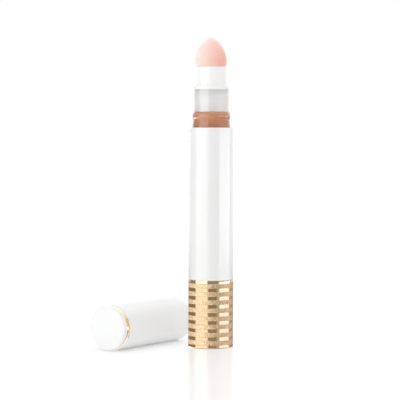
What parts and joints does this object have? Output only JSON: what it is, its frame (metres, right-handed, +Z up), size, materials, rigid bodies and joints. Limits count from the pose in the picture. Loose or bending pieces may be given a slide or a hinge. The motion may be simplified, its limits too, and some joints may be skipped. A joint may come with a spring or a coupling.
{
  "type": "liquid concealer pen",
  "caption": "Twist-up liquid concealer pen with a cushion sponge tip, clear neck, white barrel and banded gold base that turns to feed the cream; its pull-off cap lies beside it.",
  "frame": {"origin": "centre of the base's flat underside, on the surface that the pen stands on", "axes": "+Z up along the pen's axis from the base to the sponge tip; -Y the way the lying cap's closed end points; +X from the cap towards the pen"},
  "size_m": [0.0339, 0.0368, 0.098],
  "materials": {
    "white_plastic": "gloss",
    "natural_plastic": "satin",
    "gold_aluminium": "satin",
    "clear_plastic": "gloss",
    "seal_rubber": "matte",
    "pink_sponge": "matte",
    "concealer_cream": "satin"
  },
  "bodies": {
    "barrel": {"barrel_sleeve": "white_plastic", "ratchet_ring": "natural_plastic", "rod_nut": "natural_plastic", "reservoir": "clear_plastic", "concealer": "concealer_cream", "tip_holder": "white_plastic", "neck_seal": "seal_rubber", "feed_tube": "natural_plastic", "sponge_post": "natural_plastic", "sponge_tip": "pink_sponge"},
    "base": {"base_shell": "gold_aluminium", "base_core": "natural_plastic", "drive_sleeve": "natural_plastic"},
    "rod": {"screw_rod": "natural_plastic"},
    "piston": {"piston": "natural_plastic"},
    "cap": {"cap_shell": "white_plastic", "cap_liner": "natural_plastic", "cap_trim_ring": "gold_aluminium", "cap_end_plug": "white_plastic"}
  },
  "joints": [
    {"name": "base_twist", "type": "hinge", "parent": "barrel", "child": "base", "pos_m": [0, 0, 0], "axis": [0, 0, 1], "range_deg": [0, 5040]},
    {"name": "rod_advance", "type": "slide", "parent": "base", "child": "rod", "axis": [0, 0, 1], "range_m": [0, 0.028]},
    {"name": "piston_advance", "type": "slide", "parent": "barrel", "child": "piston", "axis": [0, 0, 1], "range_m": [0, 0.028], "deforming": ["concealer"]},
    {"name": "cap_slide", "type": "slide", "parent": "barrel", "child": "cap", "axis": [0, -1, 0], "range_m": [0, 0.045]}
  ],
  "couplings": [
    {"joint": "base_twist", "follows": "rod_advance", "rad_per_m": 3141.6},
    {"joint": "piston_advance", "follows": "rod_advance", "ratio": 1}
  ]
}
